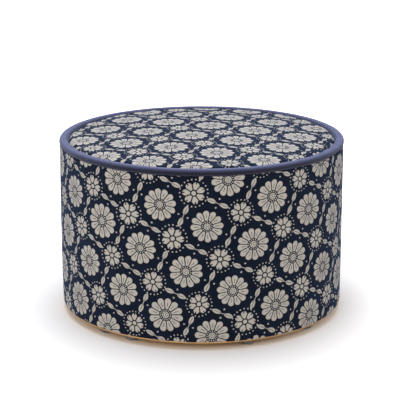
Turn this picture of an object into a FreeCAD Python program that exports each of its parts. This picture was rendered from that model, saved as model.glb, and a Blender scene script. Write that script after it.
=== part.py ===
import FreeCAD, Part
import math
import os

# Round upholstered footstool: a drum frame of two boards and uprights in a bent skin, padded,
# covered in woven cloth with a piped top edge, standing on nail-on glides.
# Millimetres, +Z up, origin on the floor under the middle. The front is -Y, the cover's seam is at +Y.

# Overall sizes
overall_diameter = 451.0
body_height = 260.0          # underside of the base board up to the middle of the piping
seat_crown = 13.0            # middle of the seat above the middle of the piping

# Covering
fabric = 1.0
layer_gap = 0.4              # room between curved layers that lie on each other
shoulder_radius = 10.0       # rounding of the seat just inside the piping
shoulder_drop = 2.9          # middle of that rounding below the middle of the piping
fold_radius = 2.6            # outer bends where the side cover folds in under the piping
hem_radius = 2.5             # outer bend where the side cover turns under the stool
turn_under_width = 23.0
seam_allowance = 12.0        # cloth left inside below the piping
side_seam_allowance = 12.0   # each half of the pressed-open seam at the back
side_seam_slit = 0.4

# Piping
piping_radius = 5.0          # half its height
piping_spread = 3.2          # how much wider than tall it is pressed
tail_slit = 0.2              # between the two layers of the strip's tail

# Padding
side_wadding = 7.0
seat_wadding = 8.0
wadding_skirt = 3.6          # seat wadding where it hangs over the foam's edge
foam_height = 58.0           # at the crown
foam_shoulder_radius = 10.0

# Frame
skin_thickness = 3.0
skin_joint = 1.0
base_thickness = 15.0
deck_thickness = 12.0
upright_count = 6
upright_width = 45.0
upright_depth = 28.0
upright_bevel = 2.0

# Underside
plate_thickness = 3.0
plate_bevel = 0.6
glide_height = 10.0
glide_radius = 11.0
glide_round = 5.0            # rounding of a glide's lower edge, round the flat that stands on the floor
glide_inset = 18.0           # middle of a glide from the edge of the bottom plate
glide_angles = (-45.5, -31.0, 20.0, 52.0)   # from the front; each has another one opposite

# Fasteners
frame_screw_radius = 2.0
frame_screw_head_radius = 4.0
frame_screw_length = 45.0
frame_screw_spacing = 22.0   # two in each end of an upright
plate_screw_radius = 1.75
plate_screw_head_radius = 3.5
plate_screw_head_height = 2.0
plate_screw_length = 13.0
plate_screw_count = 6
plate_screw_inset = 35.0     # from the edge of the base board
screw_point = 4.0
nail_radius = 1.1
nail_head_radius = 3.0
nail_head_height = 1.2
nail_head_depth = 6.0        # nail head below the top of its glide
nail_length = 20.0
staple_width = 10.0
staple_wire = 0.7
staple_leg = 8.0
cover_staple_count = 36
cover_staple_inset = 4.0     # from the edge of the base board
skin_staple_rows = 3
skin_staple_spread = 20.0    # two columns on each upright
skin_staple_margin = 30.0    # from the ends of an upright

# Radii, from the outside in
cover_radius = overall_diameter / 2
wadding_outer = cover_radius - fabric - layer_gap
wadding_inner = wadding_outer - side_wadding
skin_outer = wadding_inner - layer_gap
skin_inner = skin_outer - skin_thickness
board_radius = skin_inner - layer_gap
plate_radius = cover_radius - hem_radius
turn_under_inner = plate_radius - turn_under_width
glide_circle = plate_radius - glide_inset
upright_face = math.sqrt(board_radius ** 2 - (upright_width / 2) ** 2)
upright_middle = upright_face - upright_depth / 2

# Heights, from the floor up
plate_bottom = glide_height
plate_top = plate_bottom + plate_thickness
board_bottom = plate_top + fabric
base_top = board_bottom + base_thickness
piping_height = board_bottom + body_height
crown_top = piping_height + seat_crown
padding_depth = fabric + layer_gap + seat_wadding + layer_gap
foam_top = crown_top - padding_depth
deck_top = foam_top - foam_height
deck_bottom = deck_top - deck_thickness

# The sewn edge: seat panel, sleeve tail and side panel hang down side by side inside the piping
piping_outer = cover_radius - piping_radius      # middles of the piping's two round sides
piping_inner = piping_outer - piping_spread
tail_inner = piping_inner - piping_radius
tail_outer = tail_inner + 2 * fabric
tail_bottom = piping_height - piping_radius - seam_allowance
panel_edge = tail_inner - layer_gap
leg_inner = tail_outer + layer_gap
leg_outer = leg_inner + fabric
fold_top = piping_height - piping_radius - layer_gap
fold_height = fold_top - fold_radius
fold_outer = cover_radius - fold_radius
fold_inner = leg_inner + fold_radius
hem_height = plate_top + hem_radius

# The seat's crown and shoulder are arcs that run into each other; every layer is parallel to them
shoulder_middle = panel_edge - shoulder_radius
shoulder_height = piping_height - shoulder_drop
crown_rise = crown_top - shoulder_height
crown_span = shoulder_middle ** 2 + crown_rise ** 2 - shoulder_radius ** 2
crown_radius = crown_span / (2 * (crown_rise - shoulder_radius))
crown_middle = crown_top - crown_radius
foam_edge = panel_edge - fabric - layer_gap - wadding_skirt - layer_gap
foam_crown_radius = crown_radius - padding_depth
foam_shoulder_middle = foam_edge - foam_shoulder_radius
foam_shoulder_reach = foam_crown_radius - foam_shoulder_radius
foam_shoulder_height = crown_middle + math.sqrt(foam_shoulder_reach ** 2 - foam_shoulder_middle ** 2)
foam_step_top = tail_bottom - layer_gap
foam_step_bottom = foam_step_top - (skin_outer - foam_edge)

UP = FreeCAD.Vector(0, 0, 1)
ORIGIN = FreeCAD.Vector(0, 0, 0)
TINY = 0.2                   # overlap of two shapes that are fused into one piece
CLEAR = 1.0                  # how far a cutter runs past what it cuts

BACK = 90.0
FRONT = 270.0


def at(radius, height):
    """A point of a profile: distance from the axis, and height."""
    return FreeCAD.Vector(radius, 0, height)


def on_circle(radius, degrees, height):
    turn = math.radians(degrees)
    return FreeCAD.Vector(radius * math.cos(turn), radius * math.sin(turn), height)


def path(*points):
    """Straight edges from point to point."""
    edges = []
    for start, end in zip(points, points[1:]):
        edges.append(Part.LineSegment(start, end).toShape())
    return edges


def arc(middle, radius, start, end):
    """One arc of a profile about a middle point, between two angles in degrees."""
    points = []
    for degrees in (start, (start + end) / 2, end):
        turn = math.radians(degrees)
        points.append(middle + at(radius * math.cos(turn), radius * math.sin(turn)))
    return [Part.Arc(*points).toShape()]


def flat(edges):
    return Part.Face(Part.Wire(Part.__sortEdges__(edges)))


def turned(face):
    """A profile turned once about the stool's axis."""
    solid = face.revolve(ORIGIN, UP, 360)
    if solid.Volume < 0:
        solid.reverse()
    return solid


def disc(radius, bottom, top):
    return Part.makeCylinder(radius, top - bottom, at(0, bottom))


def placed(shape, degrees):
    """A copy turned about the stool's axis."""
    copy = shape.copy()
    copy.rotate(ORIGIN, UP, degrees)
    return copy


def save(name, shape):
    shape.exportStep(f"parts/{name}.step")


def dome(crown, middle, radius):
    """Crown arc from the axis, then shoulder arc down to upright, for one layer of the seat."""
    lean = math.degrees(math.asin(middle.x / (crown - radius)))
    crown_arc = arc(at(0, crown_middle), crown, 90, 90 - lean)
    shoulder_arc = arc(middle, radius, 90 - lean, 0)
    return crown_arc + shoulder_arc


def seat_layer(depth):
    """The seat's outer form, this far below its face."""
    return dome(crown_radius - depth, at(shoulder_middle, shoulder_height), shoulder_radius - depth)


def foam_layer(height):
    """The foam's upper form, this far above its face."""
    middle = at(foam_shoulder_middle, foam_shoulder_height)
    return dome(foam_crown_radius + height, middle, foam_shoulder_radius + height)


def make_cover_top():
    """Seat panel: crowned, with its edge turned down inside the piping."""
    inner_edge = panel_edge - fabric
    edges = seat_layer(0) + seat_layer(fabric)
    edges += path(at(panel_edge, shoulder_height), at(panel_edge, tail_bottom), at(inner_edge, tail_bottom),
                  at(inner_edge, shoulder_height))
    edges += path(at(0, crown_top - fabric), at(0, crown_top))
    return turned(flat(edges))


def make_seat_wadding():
    """Loose layer over the foam, thinner where it hangs over the foam's edge."""
    outer_depth = fabric + layer_gap
    outer_edge = panel_edge - outer_depth
    inner_edge = foam_edge + layer_gap
    edges = seat_layer(outer_depth) + foam_layer(layer_gap)
    edges += path(at(outer_edge, shoulder_height), at(outer_edge, tail_bottom), at(inner_edge, tail_bottom),
                  at(inner_edge, foam_shoulder_height))
    edges += path(at(0, foam_top + layer_gap), at(0, crown_top - outer_depth))
    return turned(flat(edges))


def make_seat_foam():
    """Crowned block on the deck, stepped in at the top to leave room for the sewn edge."""
    edges = foam_layer(0)
    edges += path(at(foam_edge, foam_shoulder_height), at(foam_edge, foam_step_top),
                  at(skin_outer, foam_step_bottom), at(skin_outer, deck_top),
                  at(0, deck_top), at(0, foam_top))
    return turned(flat(edges))


def pressed_round(radius):
    """Profile of the piping at one of its layers: two half circles joined by short flats."""
    outer = at(piping_outer, piping_height)
    inner = at(piping_inner, piping_height)
    rise = at(0, radius)
    edges = arc(outer, radius, -90, 90) + arc(inner, radius, 90, 270)
    edges += path(outer + rise, inner + rise) + path(outer - rise, inner - rise)
    return flat(edges)


def make_piping_cord():
    return turned(pressed_round(piping_radius - fabric - layer_gap))


def make_piping_sleeve():
    """Strip folded round the cord, both its edges lying together as a tail that is sewn into the seam."""
    outer = at(piping_outer, piping_height)
    inner = at(piping_inner, piping_height)
    rise = at(0, piping_radius)
    meet = math.degrees(math.acos((tail_outer - piping_inner) / piping_radius))
    neck_height = piping_height - piping_radius * math.sin(math.radians(meet))
    edges = arc(inner, piping_radius, 180, 90) + arc(outer, piping_radius, 90, -90)
    edges += arc(inner, piping_radius, -90, -meet)
    edges += path(inner + rise, outer + rise) + path(outer - rise, inner - rise)
    edges += path(at(tail_outer, neck_height), at(tail_outer, tail_bottom), at(tail_inner, tail_bottom),
                  at(tail_inner, piping_height))
    slit_inner = (tail_inner + tail_outer - tail_slit) / 2
    slit = path(at(slit_inner, tail_bottom - CLEAR), at(slit_inner + tail_slit, tail_bottom - CLEAR),
                at(slit_inner + tail_slit, neck_height), at(slit_inner, neck_height),
                at(slit_inner, tail_bottom - CLEAR))
    strip = turned(flat(edges)).cut([turned(pressed_round(piping_radius - fabric)), turned(flat(slit))])
    return strip.removeSplitter()


def side_seam(reach, growth):
    """The two pressed-open seam edges inside the side cover, at the back."""
    width = 2 * (side_seam_allowance + growth)
    outer = cover_radius - fabric
    ring = disc(outer + reach, hem_height - growth, fold_height + growth)
    ring = ring.cut(disc(outer - fabric - growth, hem_height - growth, fold_height + growth))
    box = Part.makeBox(width, cover_radius, crown_top, FreeCAD.Vector(-width / 2, 0, 0))
    return ring.common(box)


def folded_edge(depth):
    """Top of the side cover this far below its face: a bend, a flat under the piping and a bend down."""
    radius = fold_radius - depth
    edges = arc(at(fold_outer, fold_height), radius, 0, 90)
    edges += path(at(fold_outer, fold_height + radius), at(fold_inner, fold_height + radius))
    return edges + arc(at(fold_inner, fold_height), radius, 90, 180)


def make_cover_side(cutters):
    """Side panel: folded in under the piping, straight down, turned under the base and stapled."""
    hem = at(plate_radius, hem_height)
    inner = cover_radius - fabric
    edges = folded_edge(0) + folded_edge(fabric)
    edges += arc(hem, hem_radius, -90, 0) + arc(hem, hem_radius - fabric, 0, -90)
    edges += path(at(cover_radius, hem_height), at(cover_radius, fold_height))
    edges += path(at(inner, fold_height), at(inner, hem_height))
    edges += path(at(leg_inner, fold_height), at(leg_inner, tail_bottom), at(leg_outer, tail_bottom),
                  at(leg_outer, fold_height))
    edges += path(at(plate_radius, board_bottom), at(turn_under_inner, board_bottom),
                  at(turn_under_inner, plate_top), at(plate_radius, plate_top))
    panel = turned(flat(edges)).fuse(side_seam(TINY, 0))
    slit_depth = cover_radius - turn_under_inner + 2 * CLEAR
    slit = Part.makeBox(side_seam_slit, slit_depth, crown_top,
                        FreeCAD.Vector(-side_seam_slit / 2, turn_under_inner - CLEAR, 0))
    return panel.cut([slit] + cutters).removeSplitter()


def make_side_wadding():
    """Padding round the skin, its top filling the fold of the side cover."""
    hem = at(plate_radius, hem_height)
    neck = leg_outer + layer_gap
    neck_bottom = tail_bottom - layer_gap
    bottom = board_bottom + layer_gap
    edges = folded_edge(fabric + layer_gap)
    edges += arc(hem, wadding_outer - plate_radius, -90, 0)
    edges += path(at(wadding_outer, hem_height), at(wadding_outer, fold_height))
    edges += path(at(neck, fold_height), at(neck, neck_bottom), at(wadding_inner, neck_bottom),
                  at(wadding_inner, bottom), at(plate_radius, bottom))
    return turned(flat(edges)).cut(side_seam(layer_gap + TINY, layer_gap))


def make_side_skin(cutters):
    """Thin board bent round the frame, its ends meeting on the upright at the back."""
    tube = disc(skin_outer, board_bottom, deck_top).cut(disc(skin_inner, board_bottom, deck_top))
    joint = Part.makeBox(skin_joint, cover_radius, crown_top, FreeCAD.Vector(-skin_joint / 2, 0, 0))
    return tube.cut([joint] + cutters)


def make_upright():
    """One timber at the back, its outer corners level with the edge of the boards."""
    corner = FreeCAD.Vector(-upright_width / 2, upright_face - upright_depth, base_top)
    timber = Part.makeBox(upright_width, upright_depth, deck_bottom - base_top, corner)
    long_edges = [edge for edge in timber.Edges if abs(edge.tangentAt(edge.FirstParameter).z) > 0.5]
    return timber.makeChamfer(upright_bevel, long_edges)


def make_bottom_plate(cutters):
    """Thin round plate that closes the underside, with its lower edge eased."""
    edges = path(at(0, plate_bottom), at(plate_radius - plate_bevel, plate_bottom),
                 at(plate_radius, plate_bottom + plate_bevel), at(plate_radius, plate_top),
                 at(0, plate_top), at(0, plate_bottom))
    return turned(flat(edges)).cut(cutters)


def make_glide():
    """Round foot with a flat bottom and a rounded lower edge, its middle on the stool's axis."""
    flat_radius = glide_radius - glide_round
    edges = path(at(0, 0), at(flat_radius, 0)) + arc(at(flat_radius, glide_round), glide_round, -90, 0)
    edges += path(at(glide_radius, glide_round), at(glide_radius, plate_bottom),
                  at(0, plate_bottom), at(0, 0))
    return turned(flat(edges))


def make_nail():
    """Glide nail, its head moulded into the glide and its point upwards."""
    head = plate_bottom - nail_head_depth
    shoulder = head + nail_head_height
    tip = head + nail_length
    edges = path(at(0, head), at(nail_head_radius, head), at(nail_head_radius, shoulder),
                 at(nail_radius, shoulder), at(nail_radius, tip - screw_point), at(0, tip), at(0, head))
    return turned(flat(edges))


def make_frame_screw():
    """Countersunk screw, its flat head at height 0 and its point upwards."""
    neck = frame_screw_head_radius - frame_screw_radius
    edges = path(at(0, 0), at(frame_screw_head_radius, 0), at(frame_screw_radius, neck),
                 at(frame_screw_radius, frame_screw_length - screw_point),
                 at(0, frame_screw_length), at(0, 0))
    return turned(flat(edges))


def make_plate_screw():
    """Pan-head screw under the bottom plate, point upwards."""
    low = plate_bottom - plate_screw_head_height
    tip = plate_bottom + plate_screw_length
    bevel = plate_screw_head_height / 2
    edges = path(at(0, low), at(plate_screw_head_radius - bevel, low),
                 at(plate_screw_head_radius, low + bevel), at(plate_screw_head_radius, plate_bottom),
                 at(plate_screw_radius, plate_bottom), at(plate_screw_radius, tip - screw_point),
                 at(0, tip), at(0, low))
    return turned(flat(edges))


def make_staple():
    """Staple at height 0 on the axis, its crown along Y and its legs upwards."""
    half = staple_width / 2
    side = -staple_wire / 2
    crown = Part.makeBox(staple_wire, staple_width, staple_wire, FreeCAD.Vector(side, -half, 0))
    legs = []
    for start in (-half, half - staple_wire):
        corner = FreeCAD.Vector(side, start, 0)
        legs.append(Part.makeBox(staple_wire, staple_wire, staple_leg, corner))
    return crown.fuse(legs).removeSplitter()


def glide_places():
    """Angles of all the glides round the stool."""
    opposite = [angle + 180 for angle in glide_angles]
    return [FRONT + angle for angle in list(glide_angles) + opposite]


def upright_places():
    """Angles of the uprights, the first one at the back behind the skin's joint."""
    return [BACK + index * 360 / upright_count for index in range(upright_count)]


def moved(shape, place):
    copy = shape.copy()
    copy.translate(place)
    return copy


def frame_screws(pointing_up, height):
    """Two screws into the same end of every upright."""
    screw = make_frame_screw()
    if not pointing_up:
        screw.rotate(ORIGIN, FreeCAD.Vector(1, 0, 0), 180)
    screws = []
    for angle in upright_places():
        for side in (-0.5, 0.5):
            place = FreeCAD.Vector(side * frame_screw_spacing, upright_middle, height)
            screws.append(placed(moved(screw, place), angle - BACK))
    return screws


def plate_screws():
    screw = make_plate_screw()
    step = 360 / plate_screw_count
    circle = board_radius - plate_screw_inset
    angles = [BACK + (index + 0.5) * step for index in range(plate_screw_count)]
    return [moved(screw, on_circle(circle, angle, 0)) for angle in angles]


def glide_nails():
    nail = make_nail()
    return [moved(nail, on_circle(glide_circle, angle, 0)) for angle in glide_places()]


def cover_staples():
    """Crowns sunk in the turned-under cloth, legs up in the base board."""
    staple = moved(make_staple(), at(board_radius - cover_staple_inset, plate_top))
    step = 360 / cover_staple_count
    return [placed(staple, (index + 0.5) * step) for index in range(cover_staple_count)]


def skin_staples():
    """Crowns level with the skin's face, legs inwards into the uprights."""
    staple = make_staple()
    staple.rotate(ORIGIN, FreeCAD.Vector(0, 1, 0), -90)
    lowest = base_top + skin_staple_margin
    pitch = (deck_bottom - skin_staple_margin - lowest) / (skin_staple_rows - 1)
    swing = math.degrees(math.asin(skin_staple_spread / 2 / skin_outer))
    staples = []
    for angle in upright_places():
        for side in (-swing, swing):
            for row in range(skin_staple_rows):
                staples.append(placed(moved(staple, at(skin_outer, lowest + row * pitch)), angle + side))
    return staples


def main():
    os.makedirs("parts", exist_ok=True)
    base_screws = frame_screws(True, board_bottom)
    deck_screws = frame_screws(False, deck_top)
    bottom_screws = plate_screws()
    nails = glide_nails()
    hem_staples = cover_staples()
    side_staples = skin_staples()

    # Underside
    glide = make_glide()
    for number, (angle, nail) in enumerate(zip(glide_places(), nails), 1):
        foot = moved(glide, on_circle(glide_circle, angle, 0))
        save(f"glide_{number}", foot.cut(nail))
    save("glide_nails", Part.makeCompound(nails))
    save("bottom_plate", make_bottom_plate(nails + bottom_screws))
    save("plate_screws", Part.makeCompound(bottom_screws))

    # Frame
    base_board = disc(board_radius, board_bottom, base_top)
    save("base_board", base_board.cut(base_screws + bottom_screws + nails + hem_staples))
    save("deck_board", disc(board_radius, deck_bottom, deck_top).cut(deck_screws))
    upright = make_upright()
    for number, angle in enumerate(upright_places(), 1):
        timber = placed(upright, angle - BACK)
        save(f"upright_{number}", timber.cut(base_screws + deck_screws + side_staples))
    save("frame_screws_base", Part.makeCompound(base_screws))
    save("frame_screws_deck", Part.makeCompound(deck_screws))
    save("side_skin", make_side_skin(side_staples))
    save("skin_staples", Part.makeCompound(side_staples))

    # Padding and covering
    save("seat_foam", make_seat_foam())
    save("seat_wadding", make_seat_wadding())
    save("side_wadding", make_side_wadding())
    save("cover_top", make_cover_top())
    save("cover_side", make_cover_side(nails + hem_staples))
    save("cover_staples", Part.makeCompound(hem_staples))
    save("piping_cord", make_piping_cord())
    save("piping_sleeve", make_piping_sleeve())


main()
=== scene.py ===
import math

import bpy
import numpy as np
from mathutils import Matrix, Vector


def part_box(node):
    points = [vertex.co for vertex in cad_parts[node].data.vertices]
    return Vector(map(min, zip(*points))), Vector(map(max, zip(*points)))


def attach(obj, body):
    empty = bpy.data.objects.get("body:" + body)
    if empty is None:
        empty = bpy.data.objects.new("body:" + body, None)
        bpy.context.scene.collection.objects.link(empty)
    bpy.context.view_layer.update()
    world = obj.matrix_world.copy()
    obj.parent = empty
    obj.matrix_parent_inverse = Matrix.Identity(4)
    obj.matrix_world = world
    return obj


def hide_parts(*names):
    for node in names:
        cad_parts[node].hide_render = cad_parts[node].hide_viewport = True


# Looks of a round upholstered footstool: printed cloth on the seat and the side, plain piping between them,
# a thin wooden plate and plastic glides underneath.
# Metres, +Z up. The front is -Y and the side cloth's seam is at +Y.

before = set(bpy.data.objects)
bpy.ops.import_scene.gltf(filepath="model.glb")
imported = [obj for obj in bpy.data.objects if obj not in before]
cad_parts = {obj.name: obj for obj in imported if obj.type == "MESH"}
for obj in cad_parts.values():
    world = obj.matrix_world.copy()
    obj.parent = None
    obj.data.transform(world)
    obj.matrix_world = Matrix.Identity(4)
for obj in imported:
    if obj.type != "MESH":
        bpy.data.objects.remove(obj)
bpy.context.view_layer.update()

MM = 0.001
PER_METRE = 1000
SAME_POINT = 0.001 * MM  # closer points of a profile are one
BODY = "root"
FULL_TURN = 2 * math.pi
DIAGONAL = math.sqrt(0.5)
WAVES = 14  # sine waves in an uneven one


def edge_of(node):
    """Outer radius of a round node."""
    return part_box(node)[1].x


def bottom_of(node):
    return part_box(node)[0].z


def top_of(node):
    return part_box(node)[1].z


# Sizes from the frame
cover_radius = edge_of("cover_side")
plate_radius = edge_of("bottom_plate")
plate_top = top_of("bottom_plate")
plate_bottom = bottom_of("bottom_plate")
board_bottom = bottom_of("base_board")
board_radius = edge_of("base_board")
skin_outer = edge_of("side_skin")
deck_top = top_of("deck_board")
crown_top = top_of("cover_top")
panel_edge = edge_of("cover_top")
foam_top = top_of("seat_foam")
wadding_top = top_of("seat_wadding")
tail_bottom = bottom_of("piping_sleeve")
piping_height = (top_of("piping_cord") + bottom_of("piping_cord")) / 2
cord_radius = (top_of("piping_cord") - bottom_of("piping_cord")) / 2
piping_radius = top_of("piping_sleeve") - piping_height
fabric = board_bottom - plate_top
layer_gap = piping_radius - fabric - cord_radius
hem_radius = cover_radius - plate_radius
hem_height = plate_top + hem_radius

# Sizes of the cloth's bends
shoulder_radius = 10.0 * MM
shoulder_drop = 4.7 * MM  # from the piping's middle down to the shoulder's
shoulder_height = piping_height - shoulder_drop
fold_radius = 2.6 * MM
turn_under = 23.0 * MM  # width of the side cloth that lies under the base
turn_under_inner = plate_radius - turn_under
seam_allowance = 12.0 * MM

# The sewn edge: seat panel, tail of the piping and side panel hang down side by side
piping_outer = edge_of("piping_cord") - cord_radius  # middle of the piping's outer bend
tail_inner = panel_edge + layer_gap
tail_outer = tail_inner + 2 * fabric
piping_inner = tail_inner + piping_radius  # and of its inner one
piping_middle = (piping_inner + piping_outer) / 2
leg_inner = tail_outer + layer_gap
fold_height = piping_height - piping_radius - layer_gap - fold_radius
fold_outer = cover_radius - fold_radius
fold_inner = leg_inner + fold_radius
piping_fullness = 0.7 * MM  # how far the piping's strip stands out past the cord's edge
strip_outer = piping_outer + piping_fullness
hug_gap = 0.5 * MM  # between the piping and the side cloth
lip_radius = 1.15 * MM  # bend of the side cloth where it meets the piping


# Profiles: arrays of (distance from the axis, height)

def arc(middle, radius, start, end, steps):
    turns = np.radians(np.linspace(start, end, steps + 1))
    return np.stack([middle[0] + radius * np.cos(turns), middle[1] + radius * np.sin(turns)], 1)


def line(start, end, steps):
    return np.linspace(start, end, steps + 1)


def eased_line(start, end, steps):
    """A straight line whose points lie closer together near both ends."""
    share = (1 - np.cos(np.linspace(0, math.pi, steps + 1))) / 2
    return np.outer(1 - share, start) + np.outer(share, end)


def chain(*parts):
    """Parts of a profile end to end."""
    points = np.concatenate(parts)
    steps = np.linalg.norm(np.diff(points, axis=0), axis=1)
    return points[np.concatenate([[True], steps > SAME_POINT])]


def along(profile):
    """Distance of every point of a profile from its first one."""
    steps = np.linalg.norm(np.diff(profile, axis=0), axis=1)
    return np.concatenate([[0.0], np.cumsum(steps)])


def inset(profile, depth):
    """A profile this far to its left-hand side, seen along it."""
    way = np.gradient(profile, axis=0)
    way /= np.linalg.norm(way, axis=1)[:, None]
    return profile + depth * np.stack([-way[:, 1], way[:, 0]], 1)


def seat_profile(top, depth):
    """Crown arc from the axis, shoulder arc, then straight down, this far below the seat's face."""
    middle = (panel_edge - shoulder_radius, shoulder_height)
    rise = top - shoulder_height
    crown = (middle[0] ** 2 + rise ** 2 - shoulder_radius ** 2) / (2 * (rise - shoulder_radius))
    lean = math.degrees(math.asin(middle[0] / (crown - shoulder_radius)))
    crown_arc = arc((0, top - crown), crown - depth, 90, 90 - lean, steps=48)
    shoulder_arc = arc(middle, shoulder_radius - depth, 90 - lean, 0, steps=16)
    edge = line(shoulder_arc[-1], (panel_edge - depth, tail_bottom), steps=5)
    return chain(crown_arc, shoulder_arc, edge)


def side_profile():
    """Outer face of the side cloth, from its stapled edge round the hem and up into the sewn seam."""
    hem = arc((plate_radius, hem_height), hem_radius, -90, 0, steps=6)
    middle = np.array([strip_outer, piping_height])
    reach = piping_radius + hug_gap
    lip_place = cover_radius - lip_radius
    lean = math.acos((lip_place - middle[0]) / (reach + lip_radius))
    lip_middle = middle + (reach + lip_radius) * np.array([math.cos(lean), -math.sin(lean)])
    lean = math.degrees(lean)
    lip = arc(lip_middle, lip_radius, 0, 180 - lean, steps=8)
    hug = arc(middle, reach, -lean, -90, steps=5)
    inner_bend = arc((fold_inner, fold_height), fold_radius, 90, 180, steps=6)
    under = line((turn_under_inner, plate_top), hem[0], steps=4)
    wall = eased_line(hem[-1], lip[0], steps=44)
    leg = line(inner_bend[-1], (leg_inner, tail_bottom), steps=3)
    return chain(under, hem, wall, lip, hug, inner_bend, leg)


# Meshes

def uneven(angle, swings, seed):
    """A smooth irregular wave, mostly between -1 and 1; swings gives its least and most swings a turn."""
    random = np.random.default_rng(seed)
    counts = random.integers(*swings, WAVES)
    phases = random.uniform(0, FULL_TURN, WAVES)
    waves = [np.sin(count * angle + phase) for count, phase in zip(counts, phases)]
    return sum(waves) / math.sqrt(WAVES)


def new_object(name, data):
    made = bpy.data.objects.new(name, data)
    bpy.context.scene.collection.objects.link(made)
    return made


def new_piece(name, points, faces, cloth=None):
    """A smooth mesh object; cloth holds flat cloth coordinates for each face corner."""
    mesh = bpy.data.meshes.new(name)
    mesh.from_pydata([tuple(p) for p in points], [], [tuple(f) for f in faces])
    if cloth is not None:
        layer = mesh.uv_layers.new(name="cloth")
        layer.data.foreach_set("uv", np.asarray(cloth, dtype=np.float32).ravel())
    mesh.polygons.foreach_set("use_smooth", [True] * len(mesh.polygons))
    mesh.update()
    return new_object(name, mesh)


def woven_grid(rows, columns, row_closed, column_closed):
    """Quads of a grid of points: point numbers, and (row, column) corners that count on past a seam."""
    row_steps = np.arange(rows if row_closed else rows - 1)
    column_steps = np.arange(columns if column_closed else columns - 1)
    row, column = [a.ravel() for a in np.meshgrid(row_steps, column_steps, indexing="ij")]
    corners = [(row, column), (row, column + 1), (row + 1, column + 1), (row + 1, column)]
    faces = np.stack([(r % rows) * columns + c % columns for r, c in corners], 1)
    return faces, np.stack([np.stack(corner, 1) for corner in corners], 1)


def round_points(radius, height, angle):
    """Points from grids of radius, height and angle from the front, counted to the right."""
    return np.stack([radius * np.sin(angle), -radius * np.cos(angle), height], -1).reshape(-1, 3)


def round_grid(profile, angles):
    """Grids of radius, height and angle for a profile swept over some angles."""
    angle, radius = np.meshgrid(angles, profile[:, 0])
    height = np.broadcast_to(profile[:, 1][:, None], radius.shape)
    return radius, height, angle


def round_angles(columns):
    return np.linspace(-math.pi, math.pi, columns, endpoint=False)


def apply_modifiers(piece):
    graph = bpy.context.evaluated_depsgraph_get()
    mesh = bpy.data.meshes.new_from_object(piece.evaluated_get(graph))
    piece.modifiers.clear()
    piece.data = mesh


def finish_piece(piece, material, node):
    piece.data.materials.clear()
    piece.data.materials.append(material)
    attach(piece, BODY)
    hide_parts(node)
    return piece


# The seat cloth: a round panel, inflated over the padding with its sewn edge held

seat_crown_rings = 44
seat_edge_rings = 16
seat_edge_width = 1.4  # width of the edge's rings in shoulder radii
seat_swell = 2.5 * MM  # how far the inflated seat rises to its crown
seat_pressure = 4.0
seat_frames = 20
held_rise = 0.3  # top of the held points over the shoulder's middle, in its radii
held_from = 0.9  # and their least distance from the axis, in the panel's radii
pucker_depth = 0.3 * MM
pucker_reach = 26.0 * MM
pucker_inset = 6.0 * MM  # where they are deepest, in from the panel's edge
pucker_end = 1.0 * MM  # and where they stop
pucker_swings = (45, 95)


def seat_rings():
    """Distances along the seat's profile, with radius and height: narrow steps over the shoulder."""
    profile = seat_profile(crown_top - seat_swell, 0)
    length = along(profile)
    shoulder_start = panel_edge - seat_edge_width * shoulder_radius
    crown_steps = np.linspace(0, shoulder_start, seat_crown_rings + 1)
    edge_steps = np.linspace(shoulder_start, length[-1], seat_edge_rings + 1)
    places = np.concatenate([crown_steps, edge_steps[1:]])
    return places, np.interp(places, length, profile[:, 0]), np.interp(places, length, profile[:, 1])


def seat_disc():
    """Points, triangles and cloth coordinates of a disc whose rings each gain one point a side."""
    sides = 6
    places, radius, height = seat_rings()
    points = [(0.0, 0.0, height[0])]
    flat = [(0.0, 0.0)]
    faces = []
    for ring in range(1, len(places)):
        count = sides * ring
        inner_count = max(1, count - sides)
        first = len(points)
        inner_first = first - inner_count
        for index in range(count):
            turn = FULL_TURN * index / count
            points.append((radius[ring] * math.cos(turn), radius[ring] * math.sin(turn), height[ring]))
            flat.append((places[ring] * math.cos(turn), places[ring] * math.sin(turn)))
        for side in range(sides):
            for step in range(ring):
                outer = first + side * ring + step
                outer_next = first + (side * ring + step + 1) % count
                inner = inner_first + (side * (ring - 1) + step) % inner_count
                faces.append((inner, outer, outer_next))
                if step < ring - 1:
                    inner_next = inner_first + (side * (ring - 1) + step + 1) % inner_count
                    faces.append((inner, outer_next, inner_next))
    return np.array(points), faces, np.array(flat)


def inflate(piece, held):
    """Cloth under pressure with some of its points held; gives the points after the last frame."""
    group = piece.vertex_groups.new(name="sewn")
    group.add([int(i) for i in held], 1.0, "REPLACE")
    cloth = piece.modifiers.new("cloth", "CLOTH")
    cloth.settings.vertex_group_mass = group.name
    cloth.settings.use_pressure = True
    cloth.settings.uniform_pressure_force = seat_pressure
    cloth.settings.effector_weights.gravity = 0
    cloth.point_cache.frame_start = 1
    cloth.point_cache.frame_end = seat_frames
    for number in range(1, seat_frames + 1):
        bpy.context.scene.frame_set(number)
    graph = bpy.context.evaluated_depsgraph_get()
    moved = np.array([v.co for v in piece.evaluated_get(graph).data.vertices])
    piece.modifiers.clear()
    piece.vertex_groups.clear()
    bpy.context.scene.frame_set(1)
    return moved


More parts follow.
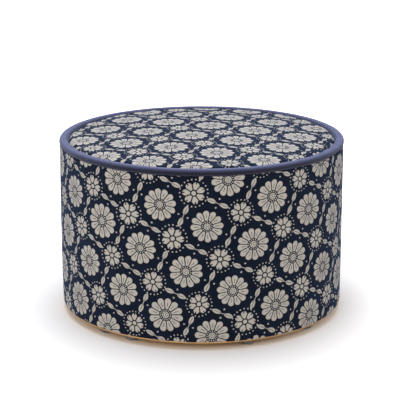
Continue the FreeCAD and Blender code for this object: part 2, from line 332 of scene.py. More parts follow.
def make_seat_cover(material):
    points, faces, flat = seat_disc()
    piece = new_piece("seat_cover", points, faces, flat[np.array(faces).ravel()])
    distance = np.hypot(points[:, 0], points[:, 1])
    low = points[:, 2] < shoulder_height + held_rise * shoulder_radius
    held = np.nonzero(low & (distance > held_from * panel_edge))[0]
    move = inflate(piece, held) - points
    move *= seat_swell / move[0, 2]
    angle = np.arctan2(points[:, 0], -points[:, 1])
    from_pucker = np.abs(distance - panel_edge + pucker_inset)
    near_seam = np.clip(1 - from_pucker / pucker_reach, 0, 1) ** 2
    on_top = distance < panel_edge - pucker_end
    move[:, 2] += pucker_depth * near_seam * on_top * uneven(angle, pucker_swings, seed=3)
    piece.data.vertices.foreach_set("co", (points + move).astype(np.float32).ravel())
    piece.data.update()
    shell = piece.modifiers.new("thickness", "SOLIDIFY")
    shell.thickness = fabric
    shell.offset = -1
    apply_modifiers(piece)
    cut = 2 * along(seat_profile(crown_top, 0))[-1]
    finish_piece(piece, material, "cover_top")
    return piece


# The side cloth: one strip with its ends sewn together at the back

side_columns = 620
side_bulge = 1.0 * MM
side_unevenness = 0.35 * MM
side_swings = (2, 11)
wall_fade = 12  # pulls and gathers fade over the wall's height divided by this
staple_count = 36
staple_pull = 0.35 * MM
staple_reach = 14.0 * MM  # how far up the staples' pulls show
gather_depth = 0.25 * MM
gather_reach = 10.0 * MM  # and how far down the gathers
gather_swings = (60, 120)
groove_depth = 1.3 * MM
groove_width = 1.9 * MM
seam_slit = 0.4 * MM
flap_columns = 6
hem_sag = 0.8 * MM  # how far the hem hangs over the plate's edge
hem_reach = 4.0 * MM  # the sag starts this far above the hem's bend
hem_slow = 0.6  # share of the sag that changes slowly round the stool
hem_slow_swings = (1, 5)
hem_quick = 0.3  # and quickly
hem_quick_swings = (12, 40)


def from_seam(angle):
    """Distance round the stool from the seam at the back."""
    return (math.pi - np.abs(angle)) * cover_radius


def wall_level(height):
    """Height on the side's wall, 0 at the hem and 1 at the fold."""
    return np.clip((height - hem_height) / (fold_height - hem_height), 0, 1)


def on_wall(height):
    """1 on the side's wall, fading to 0 at the hem and at the fold."""
    level = wall_level(height)
    return np.clip(np.minimum(level, 1 - level) * wall_fade, 0, 1)


def side_swell(angle, height):
    """How far the side cloth stands out of or in from a true drum, at an angle from the front."""
    fullness = side_bulge + side_unevenness * uneven(angle, side_swings, seed=5)
    slow = fullness * np.sin(math.pi * wall_level(height))
    low = np.exp(-np.clip(height - hem_height, 0, None) / staple_reach)
    high = np.exp(-np.clip(fold_height - height, 0, None) / gather_reach)
    pulls = staple_pull * low * (np.cos(staple_count * angle) - 1) / 2
    gathers = gather_depth * high * uneven(angle, gather_swings, seed=7)
    groove = groove_depth * np.exp(-(from_seam(angle) / groove_width) ** 2)
    return slow + on_wall(height) * (pulls + gathers - groove)


def hem_drop(angle, radius, height):
    """How far the cloth hangs down outside the plate's edge, less in some places than in others."""
    around = np.clip((radius - plate_radius) / hem_radius, 0, 1)
    low = np.clip((hem_height + hem_reach - height) / (hem_reach + hem_radius), 0, 1)
    slow = hem_slow * uneven(angle, hem_slow_swings, seed=17)
    quick = hem_quick * uneven(angle, hem_quick_swings, seed=19)
    sag = np.clip(1 + slow + quick, 0, None)
    return hem_sag * sag * np.sin(around * math.pi / 2) * low


def swept_strip(outer, angles):
    """Points, faces and cloth coordinates of a strip with this outer face, capped at both ends."""
    loop = np.concatenate([outer, inset(outer, fabric)[::-1]])
    length = along(outer)
    lengthwise = np.concatenate([length, length[::-1]])
    radius, height, angle = round_grid(loop, angles)
    drop = hem_drop(angle, radius, height)
    points = round_points(radius + side_swell(angle, height), height - drop, angle)
    rows, columns = radius.shape
    faces, corners = woven_grid(rows, columns, True, False)
    flat = np.stack([angles[corners[..., 1]] * cover_radius, lengthwise[corners[..., 0] % rows]], -1)
    first = np.arange(rows) * columns
    caps = []
    for end in (first, (first + columns - 1)[::-1]):
        caps += [(end[i], end[i + 1], end[-2 - i], end[-1 - i]) for i in range(rows // 2 - 1)]
    return points, np.concatenate([faces, caps]), np.concatenate([flat, np.zeros((len(caps), 4, 2))])


def make_side_cover(material):
    """The strip round the side, and its two seam edges pressed open inside."""
    slit = seam_slit / 2 / cover_radius
    outer = side_profile()
    panel_angles = np.linspace(-math.pi + slit, math.pi - slit, side_columns)
    flap_radius = cover_radius - fabric
    flap_face = eased_line((flap_radius, hem_height), (flap_radius, fold_height), steps=12)
    flap_angles = np.linspace(math.pi - seam_allowance / cover_radius, math.pi - slit, flap_columns)
    strips = [swept_strip(outer, panel_angles)]
    strips += [swept_strip(flap_face, angles) for angles in (flap_angles, -flap_angles[::-1])]
    starts = np.cumsum([0] + [len(points) for points, faces, flat in strips])
    points = np.concatenate([strip[0] for strip in strips])
    faces = np.concatenate([strip[1] + start for strip, start in zip(strips, starts)])
    flat = np.concatenate([strip[2] for strip in strips])
    piece = new_piece("side_cover", points, faces, flat)
    finish_piece(piece, material, "cover_side")
    return piece


# The piping: a bias strip folded round a twisted cord

piping_columns = 1800
rib_count = 300
rib_depth = 0.32 * MM
rib_depth_swings = (20, 60)
rib_steady = 0.7  # share of their depth that is the same all round
rib_change = 0.3  # and share that comes and goes
rib_sharpness = 0.25  # share of a wave twice as fine
rib_stray = 1.3  # radians off even steps
rib_stray_swings = (9, 40)
joint_depth = 0.5 * MM  # groove where the strip's slanting ends meet at the back
joint_width = 1.0 * MM
tail_slit = 0.2 * MM
core_columns = 720
core_sides = 24
strand_count = 3
strand_turns = 46
strand_depth = 0.12  # share of the cord's radius


def folded_strip():
    """Outer face of the strip, up the tail, round the cord and down again, and its inner face back."""
    inner = (piping_inner, piping_height)
    outer = (strip_outer, piping_height)
    meet = math.degrees(math.acos((tail_outer - piping_inner) / piping_radius))
    neck = arc(inner, piping_radius, -90, -meet, steps=4)
    outer_face = chain(line((tail_inner, tail_bottom), (tail_inner, piping_height), steps=2),
                       arc(inner, piping_radius, 180, 90, steps=8),
                       arc(outer, piping_radius, 90, -90, steps=16),
                       neck,
                       line(neck[-1], (tail_outer, tail_bottom), steps=2))
    bore = piping_radius - fabric
    tail_middle = (tail_inner + tail_outer) / 2
    right = tail_middle + tail_slit / 2
    left = tail_middle - tail_slit / 2
    inner_face = chain(line((right, tail_bottom), (right, neck[-1][1] - fabric), steps=1),
                       arc(inner, bore, -meet, -90, steps=1),
                       arc(outer, bore, -90, 90, steps=6),
                       arc(inner, bore, 90, 180, steps=3),
                       line((left, piping_height), (left, tail_bottom), steps=1))
    return outer_face, inner_face


def make_piping(material):
    outer_face, inner_face = folded_strip()
    loop = np.concatenate([outer_face, inner_face])
    place = along(loop)
    radius, height, angle = round_grid(loop, round_angles(piping_columns))
    across = np.broadcast_to(place[:, None], radius.shape)
    core = np.clip(radius, piping_inner, strip_outer)
    out = np.stack([radius - core, height - piping_height], -1)
    out /= np.linalg.norm(out, axis=-1, keepdims=True)
    shown = np.arange(len(loop))[:, None] < len(outer_face)
    on_round = shown * np.clip((height - piping_height) / piping_radius + 1, 0, 1)
    slant = angle - across / piping_middle
    phase = rib_count * slant + rib_stray * uneven(angle, rib_stray_swings, seed=11)
    form = np.sin(phase) + rib_sharpness * np.sin(2 * phase)
    ribs = rib_depth * form * (rib_steady + rib_change * uneven(angle, rib_depth_swings, seed=13))
    from_joint = (np.mod(slant, FULL_TURN) - math.pi) * piping_middle
    joint = joint_depth * np.exp(-(from_joint / joint_width) ** 2)
    move = on_round * (ribs - joint)
    points = round_points(radius + move * out[..., 0], height + move * out[..., 1], angle)
    faces, corners = woven_grid(len(loop), piping_columns, True, True)
    step = FULL_TURN * piping_middle / piping_columns
    flat = np.stack([corners[..., 1] * step, place[corners[..., 0] % len(loop)]], -1)
    piece = new_piece("piping", points, faces[:, ::-1], flat[:, ::-1])
    # The ribs' relief, which the piping's cloth also uses for painted light and shade.
    relief = piece.data.attributes.new("relief", "FLOAT", "POINT")
    relief.data.foreach_set("value", (move / rib_depth).astype(np.float32).ravel())
    finish_piece(piece, material, "piping_sleeve")
    strip_length = FULL_TURN * piping_middle + 2 * seam_allowance
    return piece


def make_piping_core(material):
    """Twisted cord inside the piping, pressed a little flat."""
    turns = np.linspace(0, FULL_TURN, core_sides, endpoint=False)
    angle, turn = np.meshgrid(round_angles(core_columns), turns)
    lobes = (1 - np.cos(strand_count * turn - strand_turns * angle)) / 2
    size = 1 - strand_depth * lobes
    half_width = cord_radius + (piping_outer - piping_inner) / 2
    radius = piping_middle + half_width * size * np.cos(turn)
    height = piping_height + cord_radius * size * np.sin(turn)
    points = round_points(radius, height, angle)
    piece = new_piece("piping_core", points, woven_grid(core_sides, core_columns, True, True)[0])
    return finish_piece(piece, material, "piping_cord")


# Padding: closed profiles turned about the axis

AXIS = 0.1 * MM  # smallest radius of a turned block
seat_ease = 0.7 * MM  # room between the seat's cloth and its wadding
side_ease = 0.4 * MM  # and between the side's
seat_pad_columns = 180
side_pad_columns = 480
loft_inward = 0.45  # share of the seat wadding's loft at its edge
loft_power = 8  # how late the loft thins towards the edge
foam_room = 4.0 * MM  # between the edges of the wadding and the foam
foam_crown_room = 1.0 * MM  # from the foam's height in the frame down to its crown
foam_round = [(12, 7), (3, 11), (0, 16)]  # corners of the foam's top edge, millimetres in and down
pad_foot = 5.0 * MM  # lowest step of the inner face of the side's padding
pad_core = 3.0 * MM  # inner part of that padding, which keeps its shape
flap_fade = 2.0 * MM  # width over which its hollow for the seam edges ends


def turned_piece(name, profile, columns, bulge=None):
    """A closed profile turned about the axis; bulge gives how far its points move outward."""
    radius, height, angle = round_grid(profile, round_angles(columns))
    if bulge is not None:
        radius = radius + bulge(angle, height, radius)
    points = round_points(radius, height, angle)
    return new_piece(name, points, woven_grid(len(profile), columns, True, True)[0])


def make_seat_wadding(material):
    """Loose layer under the seat cloth, thinner where it hangs over the foam's edge."""
    depth = crown_top - wadding_top
    loft = wadding_top - seat_ease - foam_top - layer_gap
    outer = seat_profile(crown_top, depth + seat_ease)
    outer[0, 0] = AXIS
    share = outer[:, 0] / panel_edge
    inner = outer - loft * np.stack([loft_inward * share, np.clip(1 - share ** loft_power, 0, 1)], 1)
    inner[0, 0] = AXIS
    piece = turned_piece("seat_pad_wadding", np.concatenate([inner, outer[::-1]]), seat_pad_columns)
    finish_piece(piece, material, "seat_wadding")
    return piece


def make_seat_foam(material):
    """Crowned block on the deck, stepped in at the top to leave room for the sewn edge."""
    foam_edge = edge_of("seat_wadding") - foam_room
    top_edge = [(foam_edge - inward * MM, foam_top - down * MM) for inward, down in foam_round]
    step_top = tail_bottom - layer_gap
    step_bottom = step_top - (skin_outer - foam_edge)
    corners = [(AXIS, foam_top - foam_crown_room), *top_edge, (foam_edge, step_top),
               (skin_outer, step_bottom), (skin_outer, deck_top), (AXIS, deck_top)]
    profile = chain(*[line(start, end, steps=6) for start, end in zip(corners, corners[1:])])
    piece = turned_piece("seat_pad_foam", profile[::-1], seat_pad_columns)
    finish_piece(piece, material, "seat_foam")
    return piece


def make_side_wadding(material):
    """Padding round the skin, its top in the fold of the side cloth, hollowed for the seam edges."""
    clear = fabric + layer_gap + side_ease
    inner = skin_outer + layer_gap
    neck = leg_inner + fabric + layer_gap
    neck_bottom = tail_bottom - layer_gap
    bottom = board_bottom + layer_gap
    hem = arc((plate_radius, hem_height), hem_radius - clear, -60, 0, steps=4)
    outer_bend = arc((fold_outer, fold_height), fold_radius - clear, 0, 90, steps=4)
    inner_bend = arc((fold_inner, fold_height), fold_radius - clear, 90, 180, steps=4)
    wall = eased_line(hem[-1], outer_bend[0], steps=30)
    profile = chain(line((inner, bottom), (plate_radius, bottom), steps=2),
                    hem, wall, outer_bend, inner_bend,
                    line((neck, fold_height), (neck, neck_bottom), steps=2),
                    line((inner, neck_bottom), (inner, bottom + pad_foot), steps=20))

    def bulge(angle, height, radius):
        outer_share = np.clip((radius - inner - pad_core) / pad_core, 0, 1)
        flap_share = np.clip((seam_allowance - from_seam(angle)) / flap_fade + 1, 0, 1)
        seam_room = (fabric + layer_gap) * flap_share
        return outer_share * (side_swell(angle, height) - on_wall(height) * seam_room)

    piece = turned_piece("side_pad", profile, side_pad_columns, bulge)
    finish_piece(piece, material, "side_wadding")
    return piece


# Screws under the plate, with a cross recess

screw_count = 6
screw_inset = 35.0 * MM
screw_circle = board_radius - screw_inset
screw_twist = 1.9  # radians from screw to screw
screw_head = 3.5 * MM
screw_head_height = 2.0 * MM
head_dome = 0.7  # share of the head's height that is domed
head_turns = (25, 45, 62, 78, 90)  # degrees over the dome
screw_shank = 1.75 * MM
screw_length = 13.0 * MM
screw_point = 4.0 * MM
screw_tip = 0.02 * MM
screw_sides = 32
recess_length = 4.0 * MM
recess_width = 0.9 * MM
recess_depth = 1.1 * MM
cutter_over = 1.0 * MM  # room outside the head


def cross_cutter():
    """A plus-shaped block for the recess in a screw's head."""
    low = plate_bottom - screw_head_height - cutter_over
    high = plate_bottom - screw_head_height + recess_depth
    half = recess_length / 2
    arm = recess_width / 2
    quarter = [(half, -arm), (half, arm), (arm, arm)]
    outline = []
    for _ in range(4):
        outline += quarter
        quarter = [(-y, x) for x, y in quarter]
    count = len(outline)
    points = [(x, y, z) for z in (low, high) for x, y in outline]
    faces = [tuple(range(count))[::-1], tuple(range(count, 2 * count))]
    faces += [(i, (i + 1) % count, count + (i + 1) % count, count + i) for i in range(count)]
    return new_piece("recess_cutter", points, faces)


def one_screw():
    """Points and faces of a pan-head screw on the stool's axis, its recess cut."""
    low = plate_bottom - screw_head_height
    tip = plate_bottom + screw_length
    turns = np.radians(head_turns)
    head_heights = low + head_dome * screw_head_height * (1 - np.cos(turns))
    head = np.stack([screw_head * np.sin(turns), head_heights], 1)
    shank = [(screw_head, plate_bottom), (screw_shank, plate_bottom), (screw_shank, tip - screw_point)]
    profile = np.concatenate([[(screw_tip, low)], head, shank, [(screw_tip, tip)]])
    radius, height, angle = round_grid(profile, round_angles(screw_sides))
    points = round_points(radius, height, angle)
    head_end = tuple(range(screw_sides))[::-1]
    tip_end = tuple(range(len(points) - screw_sides, len(points)))
    faces = [*woven_grid(len(profile), screw_sides, False, True)[0], head_end, tip_end]
    screw = new_piece("plate_screw", points, faces)
    cutter = cross_cutter()
    cut = screw.modifiers.new("recess", "BOOLEAN")
    cut.object = cutter
    cut.operation = "DIFFERENCE"
    apply_modifiers(screw)
    points = np.array([v.co for v in screw.data.vertices])
    polygons = [tuple(p.vertices) for p in screw.data.polygons]
    bpy.data.objects.remove(cutter)
    bpy.data.objects.remove(screw)
    return points, polygons


def make_plate_screws(material):
    one, polygons = one_screw()
    points = []
    faces = []
    for index in range(screw_count):
        place = math.pi / 2 + (index + 0.5) * FULL_TURN / screw_count
        twist = screw_twist * index
        x = one[:, 0] * math.cos(twist) - one[:, 1] * math.sin(twist) + screw_circle * math.cos(place)
        y = one[:, 0] * math.sin(twist) + one[:, 1] * math.cos(twist) + screw_circle * math.sin(place)
        points.append(np.stack([x, y, one[:, 2]], 1))
        faces += [tuple(i + index * len(one) for i in polygon) for polygon in polygons]
    piece = new_piece("bottom_screws", np.concatenate(points), faces)
    piece.data.polygons.foreach_set("use_smooth", [False] * len(faces))
    return finish_piece(piece, material, "plate_screws")


# Materials

def field_step(operation):
    """A method that adds one node of arithmetic."""
    def step(self, *others):
        return self.graph.math(operation, self, *others)
    return step


class Field:
    """A number at every point of a surface; arithmetic on it adds nodes to its graph."""

    def __init__(self, graph, socket):
        self.graph = graph
        self.socket = socket

    __add__ = field_step("ADD")
    __sub__ = field_step("SUBTRACT")
    __mul__ = field_step("MULTIPLY")
    __truediv__ = field_step("DIVIDE")
    __abs__ = field_step("ABSOLUTE")
    floor = field_step("FLOOR")
    fraction = field_step("FRACT")
    sine = field_step("SINE")
    cosine = field_step("COSINE")
    root = field_step("SQRT")
    least = field_step("MINIMUM")
    most = field_step("MAXIMUM")

    def __rsub__(self, other):
        return self.graph.math("SUBTRACT", other, self)

    def between(self, start, end, low=0.0, high=1.0):
        """Eases from low at start to high at end."""
        made = self.graph.node("ShaderNodeMapRange", self, start, end, low, high,
                               interpolation_type="SMOOTHSTEP")
        return Field(self.graph, made.outputs[0])


class Graph:
    """A material and its nodes."""

    def __init__(self, name):
        self.material = bpy.data.materials.new(name)
        self.material.use_nodes = True
        self.tree = self.material.node_tree
        self.shader = self.tree.nodes["Principled BSDF"]

    def node(self, kind, *values, **settings):
        """A new node with these settings, its first inputs fed in order."""
        made = self.tree.nodes.new(kind)
        for key, value in settings.items():
            setattr(made, key, value)
        for socket, value in zip(made.inputs, values):
            self.feed(socket, value)
        return made

    def feed(self, socket, value):
        if isinstance(value, Field):
            self.tree.links.new(value.socket, socket)
        elif isinstance(value, bpy.types.NodeSocket):
            self.tree.links.new(value, socket)
        else:
            socket.default_value = value

    def put(self, name, value):
        """Feeds one of the surface's own inputs."""
        self.feed(self.shader.inputs[name], value)

    def math(self, operation, *values):
        return Field(self, self.node("ShaderNodeMath", *values, operation=operation).outputs[0])

    def split(self, vector):
        made = self.node("ShaderNodeSeparateXYZ", vector)
        return [Field(self, socket) for socket in made.outputs]

    def vector(self, *values):
        return self.node("ShaderNodeCombineXYZ", *values).outputs[0]

    def cloth(self):
        """Flat cloth coordinates in millimetres."""
        made = self.node("ShaderNodeUVMap", uv_map="cloth")
        x, y, _ = self.split(made.outputs[0])
        return x * PER_METRE, y * PER_METRE

    def place(self):
        """Place in the object's frame in millimetres."""
        made = self.node("ShaderNodeTexCoord")
        x, y, z = self.split(made.outputs["Object"])
        return x * PER_METRE, y * PER_METRE, z * PER_METRE

    def upward(self):
        """1 on faces that look up or down, 0 on upright ones."""
        made = self.node("ShaderNodeNewGeometry")
        return abs(self.split(made.outputs["True Normal"])[2])

    def noise(self, vector, scale, detail=2.0):
        made = self.node("ShaderNodeTexNoise", vector)
        made.inputs["Scale"].default_value = scale
        made.inputs["Detail"].default_value = detail
        return Field(self, made.outputs["Fac"])

    def chance(self, x, y):
        """Three random numbers for each whole x and y."""
        made = self.node("ShaderNodeTexWhiteNoise", self.vector(x, y), noise_dimensions="2D")
        return self.split(made.outputs["Color"])

    def mix(self, share, first, second):
        return self.node("ShaderNodeMixRGB", share, first, second).outputs[0]

    def blotched(self, noise, first, second):
        return self.mix(noise.between(*blotch_range), first, second)

    def shaded(self, colour, tone):
        """A colour made lighter or darker by a tone about 1."""
        made = self.node("ShaderNodeVectorMath", colour, operation="SCALE")
        self.feed(made.inputs["Scale"], tone)
        return made.outputs[0]

    def fuzz(self, weight, roughness, tint):
        """Soft light on fibres that stand up from a cloth, and little gloss."""
        self.put("Sheen Weight", weight)
        self.put("Sheen Roughness", roughness)
        self.put("Sheen Tint", tint)
        self.put("Specular IOR Level", cloth_gloss)

    def surface(self, colour, roughness, height, depth):
        """Sets the colour, the roughness and the relief, whose depth is in millimetres."""
        self.put("Base Color", colour)
        self.put("Roughness", roughness)
        bump = self.node("ShaderNodeBump")
        bump.inputs["Distance"].default_value = depth * MM
        self.feed(bump.inputs["Height"], height)
        self.put("Normal", bump.outputs[0])
        return self.material


def colour(red, green, blue):
    """A colour from its screen values, 0 to 255, as light."""
    values = [v / 255 for v in (red, green, blue)]
    light = [v / 12.92 if v <= 0.04045 else ((v + 0.055) / 1.055) ** 2.4 for v in values]
    return (*light, 1.0)


navy = colour(15, 20, 31)
navy_faded = colour(18, 25, 38)
cream = colour(182, 174, 163)
# The piping's blue away from its crown is darkened as painted shade; its crown's paler blue is a painted
# highlight.
piping_shaded_blue = colour(33, 31, 42)
piping_painted_highlight = colour(79, 82, 112)
highlight_range = (10.5, 1.5)  # millimetres from the piping's crown over which its painted highlight fades in
rib_painted_light = 0.28  # how much paler the tops of the piping's ribs are and darker their valleys and the joint's groove: painted light and shade
blotch_range = (0.3, 0.7)  # noise over which one colour turns to another
cloth_gloss = 0.05
fibre_sheen = 0.2
thread_pitch = 0.95  # millimetres
thread_edge = 0.05  # how sharply one thread goes over the other
slub_along = 0.03  # fineness of the slubs along a thread
slub_across = 0.8  # and across it
print_pitch = 54.0  # millimetres from blossom to blossom
print_turn = math.radians(21)
print_wobble = 1.6  # millimetres that the print's lines stray
wobble_scale = 0.16
edge_blur = 0.28  # millimetres over which the print's edge fades
blossom_least = 0.93  # size of the smallest blossoms
blossom_range = 0.12  # and how much larger others are


def weave(graph, x, y):
    """Height of a plain weave, and its tone with slubs along both threads and painted shade in the weave's
    hollows.
    """
    warp = (x * (math.pi / thread_pitch)).sine()
    weft = (y * (math.pi / thread_pitch)).sine()
    over = (warp * weft).between(-thread_edge, thread_edge)
    height = abs(warp) * over + abs(weft) * (1 - over)
    across = graph.noise(graph.vector(x * slub_along, y * slub_across, 0.0), scale=1.0)
    lengthwise = graph.noise(graph.vector(x * slub_across, y * slub_along, 5.0), scale=1.0)
    broad = graph.noise(graph.vector(x, y, 9.0), scale=0.012)
    # The height term darkens the weave's hollows: painted shade.
    tone = across * 0.30 + lengthwise * 0.18 + broad * 0.12 + height * 0.10 + 0.65
    return height, tone


def hypot(x, y):
    return (x * x + y * y).root()


def inside(distance):
    """1 where a distance is below zero, fading over the print's edge."""
    return distance.between(edge_blur, -edge_blur)


def sector(angle, radius, count):
    """Across and along distances from the middle line of the nearest of count rays."""
    step = FULL_TURN / count
    turn = ((angle / step).fraction() - 0.5) * step
    return abs(radius * turn.sine()), radius * turn.cosine()


def petals(angle, radius, count, inner, outer, gap):
    """Distance outside a ring of round-tipped petals, and across and along the nearest one."""
    half = math.pi / count
    middle = (outer + gap / 2) / (1 + math.sin(half))
    tip_radius = outer - middle
    across, ahead = sector(angle, radius, count)
    beyond = ahead - middle
    tip = hypot(across, beyond) - tip_radius
    flank = across * math.cos(half) - ahead * math.sin(half) + gap / 2
    blade = flank.most(beyond).most(inner - radius)
    return tip.least(blade), across, ahead


def dots(angle, radius, count, circle, size):
    """Distance outside a ring of round dots."""
    across, ahead = sector(angle, radius, count)
    beyond = ahead - circle
    return hypot(across, beyond) - size


def large_blossom(angle, radius):
    """Twelve veined petals round a dotted eye, in millimetres."""
    vein_half = 0.42
    vein_start = 13.0
    vein_end = 19.5
    eye_size = 5.2
    pip_size = 0.8
    outside, across, ahead = petals(angle, radius, count=12, inner=9.6, outer=25.6, gap=1.5)
    vein = (across - vein_half).most(ahead - vein_end).most(vein_start - ahead)
    eye = (radius - eye_size).least(dots(angle, radius, count=14, circle=7.5, size=0.95))
    pips = dots(angle, radius, count=7, circle=3.1, size=0.75).least(radius - pip_size)
    petal_mask = inside(outside) * (1 - inside(vein))
    eye_mask = inside(eye) * (1 - inside(pips))
    return petal_mask.most(eye_mask)


def small_blossom(angle, radius):
    """Seven notched petals round an eye, in a ring of dots, in millimetres."""
    notch_half = 0.9
    notch_start = 13.2
    eye_size = 3.2
    outside, across, ahead = petals(angle, radius, count=7, inner=5.2, outer=16.4, gap=1.8)
    notch = (across - notch_half).most(notch_start - ahead)
    eye = radius - eye_size
    ring = dots(angle, radius, count=22, circle=20.2, size=1.05)
    mask = inside(outside) * (1 - inside(notch))
    return mask.most(inside(eye.least(ring)))


def sprig(x, y):
    """A pair of leaves on a stem, with a dot at each side, in millimetres."""
    leaf_place = 9.8
    leaf_half_length = 7.6
    leaf_half_width = 3.5
    rib_half = 0.38
    rib_end = 4.5
    stem_half = 0.45
    stem_end = 3.4
    dot_place = 7.2
    dot_size = 1.3
    bow = (leaf_half_length ** 2 + leaf_half_width ** 2) / (2 * leaf_half_width)
    ahead = abs(x) - leaf_place
    side = abs(y) + (bow - leaf_half_width)
    leaf = hypot(ahead, side) - bow
    rib = (abs(y) - rib_half).most(ahead - rib_end)
    stem = (abs(y) - stem_half).most(abs(x) - stem_end)
    beside = abs(y) - dot_place
    dot = hypot(x, beside) - dot_size
    return (inside(leaf) * (1 - inside(rib))).most(inside(stem.least(dot)))


def print_mask(graph, x, y):
    """The printed design: 1 on cream motifs, 0 on the navy ground."""
    wobble = graph.node("ShaderNodeTexNoise", graph.vector(x, y, 0.0))
    wobble.inputs["Scale"].default_value = wobble_scale
    shift_x, shift_y, _ = graph.split(wobble.outputs["Color"])
    x = x + (shift_x - 0.5) * print_wobble
    y = y + (shift_y - 0.5) * print_wobble
    cos = math.cos(print_turn)
    sin = math.sin(print_turn)
    along_x = (x * cos + y * sin) / print_pitch
    along_y = (y * cos - x * sin) / print_pitch

    column = along_x.floor()
    row = along_y.floor()
    first, second, _ = graph.chance(column, row)
    kind = ((column + row) * 0.5).fraction() * 2
    size = second * blossom_range + blossom_least
    local_x = (along_x - column - 0.5) * print_pitch / size
    local_y = (along_y - row - 0.5) * print_pitch / size
    radius = hypot(local_x, local_y)
    angle = graph.math("ARCTAN2", local_y, local_x) + first * FULL_TURN
    blossoms = large_blossom(angle, radius) * (1 - kind) + small_blossom(angle, radius) * kind

    corner_x = (along_x + 0.5).floor()
    corner_y = (along_y + 0.5).floor()
    corner_kind = ((corner_x + corner_y) * 0.5).fraction() * 2
    near_x = (along_x - corner_x) * print_pitch
    near_y = (along_y - corner_y) * print_pitch
    rising = (near_x + near_y) * DIAGONAL
    falling = (near_x - near_y) * DIAGONAL
    leaf_x = rising * corner_kind + falling * (1 - corner_kind)
    leaf_y = falling * corner_kind + rising * (1 - corner_kind)
    return blossoms.most(sprig(leaf_x, leaf_y))


def printed_cloth():
    graph = Graph("printed_cloth")
    x, y = graph.cloth()
    height, tone = weave(graph, x, y)
    mask = print_mask(graph, x, y)
    fine = graph.noise(graph.vector(x, y, 3.0), scale=0.9, detail=3.0)
    broad = graph.noise(graph.vector(x, y, 7.0), scale=0.03, detail=3.0)
    worn = fine.between(0.25, 0.5, low=0.86, high=1.0)
    ground = graph.blotched(broad, navy, navy_faded)
    printed = graph.mix(mask * worn, ground, cream)
    graph.fuzz(weight=0.12, roughness=0.5, tint=(0.30, 0.47, 1.0, 1.0))
    return graph.surface(graph.shaded(printed, tone), tone * 0.10 + 0.78, height, depth=0.12)


def piping_cloth():
    """Plain blue cloth, paler on the piping's crown as a painted highlight, and darker between its ribs as
    painted shade.
    """
    graph = Graph("piping_cloth")
    x, y = graph.cloth()
    height, tone = weave(graph, (x + y) * DIAGONAL, (x - y) * DIAGONAL)
    flat_width = strip_outer - piping_inner
    crown = (piping_height - tail_bottom + piping_radius * math.pi / 2 + flat_width / 2) / MM
    # Painted highlight: paler towards the piping's crown.
    crown_highlight = abs(y - crown).between(*highlight_range)
    relief = Field(graph, graph.node("ShaderNodeAttribute", attribute_name="relief").outputs["Fac"])
    # Painted light and shade from the relief: paler on the ribs' tops, darker in their valleys and in the
    # joint's groove.
    tone = tone * (relief * rib_painted_light + 1)
    blue = graph.mix(crown_highlight, piping_shaded_blue, piping_painted_highlight)
    graph.fuzz(weight=0.50, roughness=0.45, tint=(0.63, 0.66, 0.93, 1.0))
    return graph.surface(graph.shaded(blue, tone), tone * 0.1 + 0.75, height, depth=0.12)


def fibres(name, base, deep, scale):
    """Loose padding, foam or pressed fibre: soft blotches and fine relief."""
    graph = Graph(name)
    vector = graph.vector(*graph.place())
    soft = graph.noise(vector, scale, detail=4.0)
    fine = graph.noise(vector, scale * 6, detail=3.0)
    shade = graph.blotched(soft, deep, base)
    graph.put("Sheen Weight", fibre_sheen)
    return graph.surface(graph.shaded(shade, fine * 0.3 + 0.85), fine * 0.1 + 0.85, fine, depth=0.5)


def wood(name, pale, dark, grain_axis, ply):
    """Wood with grain along one axis; ply is the thickness of its layers in millimetres, or 0."""
    graph = Graph(name)
    along_grain = 0.018
    across_grain = 0.35
    place = graph.place()
    stretch = [along_grain if axis == grain_axis else across_grain for axis in range(3)]
    grain_vector = graph.vector(*[p * s for p, s in zip(place, stretch)])
    rings = graph.noise(grain_vector, scale=0.6, detail=5.0)
    streaks = graph.noise(grain_vector, scale=3.2, detail=3.0)
    share = rings.between(0.35, 0.68) * 0.6 + streaks.between(0.4, 0.75) * 0.4
    face = graph.mix(share, pale, dark)
    if ply:
        layer = (place[2] / ply + rings * 0.10).fraction()
        band = layer.between(0.42, 0.58) - layer.between(0.9, 1.0)
        edge = graph.mix(band * 0.75 + streaks * 0.25, pale, dark)
        face = graph.mix(graph.upward().between(0.6, 0.8), edge, face)
    shade = graph.shaded(face, streaks * 0.16 + 0.92)
    return graph.surface(shade, streaks * 0.2 + 0.5, streaks, depth=0.12)


def steel():
    graph = Graph("steel")
    scratch = graph.noise(graph.vector(*graph.place()), scale=1.6, detail=4.0)
    graph.put("Metallic", 1.0)
    tint = graph.blotched(scratch, colour(168, 170, 174), colour(200, 201, 203))
    return graph.surface(tint, scratch * 0.3 + 0.22, scratch, depth=0.03)


def glide_plastic():
    graph = Graph("glide_plastic")
    x, y, z = graph.place()
    vector = graph.vector(x, y, z)
    grain = graph.noise(vector, scale=2.4, detail=3.0)
    blotch = graph.noise(vector, scale=0.25, detail=3.0)
    scuff = z.between(3.0, 0.2) * grain.between(0.4, 0.65)
    base = graph.blotched(blotch, colour(104, 98, 94), colour(122, 115, 109))
    worn = graph.mix(scuff * 0.6, base, colour(164, 158, 150))
    return graph.surface(worn, grain * 0.2 + 0.42, grain, depth=0.05)


def dress_frame(metal):
    """Materials for the pieces that show as they are in the frame."""
    ply = wood("plywood", colour(220, 174, 114), colour(186, 130, 72), grain_axis=0, ply=1.0)
    board = wood("board_plywood", colour(216, 190, 150), colour(176, 140, 98), grain_axis=0, ply=2.5)
    timber = wood("timber", colour(222, 190, 142), colour(182, 138, 88), grain_axis=2, ply=0)
    hardboard = fibres("hardboard", colour(132, 98, 66), colour(108, 78, 52), scale=0.5)
    plastic = glide_plastic()
    chosen = {"bottom_plate": ply, "base_board": board, "deck_board": board, "side_skin": hardboard}
    for name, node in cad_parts.items():
        material = chosen.get(name, metal)
        if name.startswith("upright"):
            material = timber
        if name.startswith("glide_") and name != "glide_nails":
            material = plastic
        node.data.materials.clear()
        node.data.materials.append(material)


# Stage, light and camera

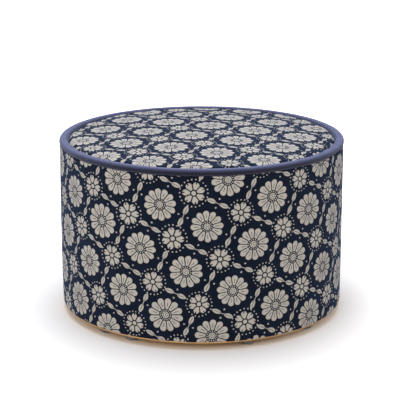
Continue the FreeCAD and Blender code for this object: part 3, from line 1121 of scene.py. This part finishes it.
WHITE = (1.0, 1.0, 1.0)
LIGHTS = {
    "overhead": dict(place=(-0.15, 0.25, 2.0), size=1.9, power=38.0, tint=(0.79, 0.88, 1.0)),
    "key": dict(place=(-1.3, -2.2, 1.3), size=2.0, power=22.0, tint=WHITE),
    "fill": dict(place=(2.2, -0.9, 1.1), size=2.0, power=8.0, tint=WHITE),
}
world_strength = 0.66
floor_size = 12.0
floor_seen = (0.80, 0.76, 0.735, 1)  # the floor's colour to the camera
floor_painted_warm_light = (1.0, 0.82, 0.59, 1)  # its colour to the camera below the plate's edge: painted warm light bounced from the wooden plate
floor_glow = (0.7, 0.69, 0.68, 1)  # its colour for light thrown back up
painted_warm_reach = (0.195, 0.238)  # distance from the axis over which the painted warm light turns to floor_seen
lit_floor = (0.20, 0.80)  # distance from the axis over which the floor's glow to the camera rises to plain white, lightening the stool's shadow as painted light
lit_stretch = 1.33  # it turns white sooner at the sides, painting out more of the shadow there
lit_shift = 0.020  # and soonest at the right
camera_lens = 132.65  # millimetres
camera_distance = 2.379
camera_elevation = math.radians(15.6)
look_height = 0.1713
object_shift = -0.004  # the stool stands a little right of the picture's middle


def make_floor():
    """Pale floor that takes the shadow near the stool, with painted warm light just below the plate's edge;
    to the camera it glows, lightening that shadow as painted light, and is plain white further out.
    """
    half = floor_size / 2
    floor = new_piece("floor", [(-half, -half, 0), (half, -half, 0), (half, half, 0), (-half, half, 0)],
                      [(0, 1, 2, 3)])
    graph = Graph("floor_white")
    x, y, _ = graph.place()
    distance = hypot(x, y) * MM
    side = (x + lit_shift / MM) * lit_stretch
    lit_distance = hypot(side, y) * MM
    seen = Field(graph, graph.node("ShaderNodeLightPath").outputs["Is Camera Ray"])
    # Painted warm light below the plate's edge, giving way to the floor's own colour further out.
    shown = graph.mix(distance.between(*painted_warm_reach), floor_painted_warm_light, floor_seen)
    graph.put("Base Color", graph.mix(seen, floor_glow, shown))
    graph.put("Roughness", 1.0)
    graph.put("Specular IOR Level", 0.0)
    graph.put("Emission Color", (*WHITE, 1.0))
    # A glow to the camera: plain white far out, and near the stool painted light over its shadow.
    graph.put("Emission Strength", seen * lit_distance.between(*lit_floor))
    floor.data.materials.append(graph.material)


def make_world():
    """White to the camera, a plain grey level as light."""
    world = bpy.data.worlds.new("studio")
    bpy.context.scene.world = world
    world.use_nodes = True
    nodes = world.node_tree.nodes
    links = world.node_tree.links
    background = nodes["Background"]
    path = nodes.new("ShaderNodeLightPath")
    strength = nodes.new("ShaderNodeMapRange")
    strength.inputs["To Min"].default_value = world_strength
    strength.inputs["To Max"].default_value = 1.0
    links.new(path.outputs["Is Camera Ray"], strength.inputs["Value"])
    links.new(strength.outputs[0], background.inputs["Strength"])
    background.inputs["Color"].default_value = (*WHITE, 1.0)


def make_light(name, place, size, power, tint):
    """A round soft light that faces the stool."""
    light = bpy.data.lights.new(name, "AREA")
    light.shape = "DISK"
    light.size = size
    light.energy = power
    light.color = tint
    lamp = new_object(name, light)
    lamp.location = place
    to_stool = Vector((0, 0, crown_top / 2)) - Vector(place)
    lamp.rotation_euler = to_stool.to_track_quat("-Z", "Y").to_euler()


def make_camera():
    camera = bpy.data.cameras.new("camera")
    camera.lens = camera_lens
    camera.shift_x = object_shift
    viewer = new_object("camera", camera)
    back = camera_distance * math.cos(camera_elevation)
    viewer.location = (0, -back, look_height + camera_distance * math.sin(camera_elevation))
    viewer.rotation_euler = (math.pi / 2 - camera_elevation, 0, 0)
    bpy.context.scene.camera = viewer


def main():
    bpy.context.scene.view_settings.view_transform = "Standard"
    make_camera()
    make_floor()
    make_world()
    for name, light in LIGHTS.items():
        make_light(name, **light)
    metal = steel()
    dress_frame(metal)
    cloth = printed_cloth()
    plain = piping_cloth()
    wadding = fibres("wadding", colour(236, 235, 230), colour(214, 212, 205), scale=0.12)
    foam = fibres("foam", colour(226, 214, 170), colour(206, 190, 140), scale=0.8)
    cord = fibres("cord_fibres", colour(224, 220, 208), colour(196, 190, 176), scale=0.5)
    make_seat_cover(cloth)
    make_side_cover(cloth)
    make_piping(plain)
    make_piping_core(cord)
    make_seat_wadding(wadding)
    make_seat_foam(foam)
    make_side_wadding(wadding)
    make_plate_screws(metal)


main()
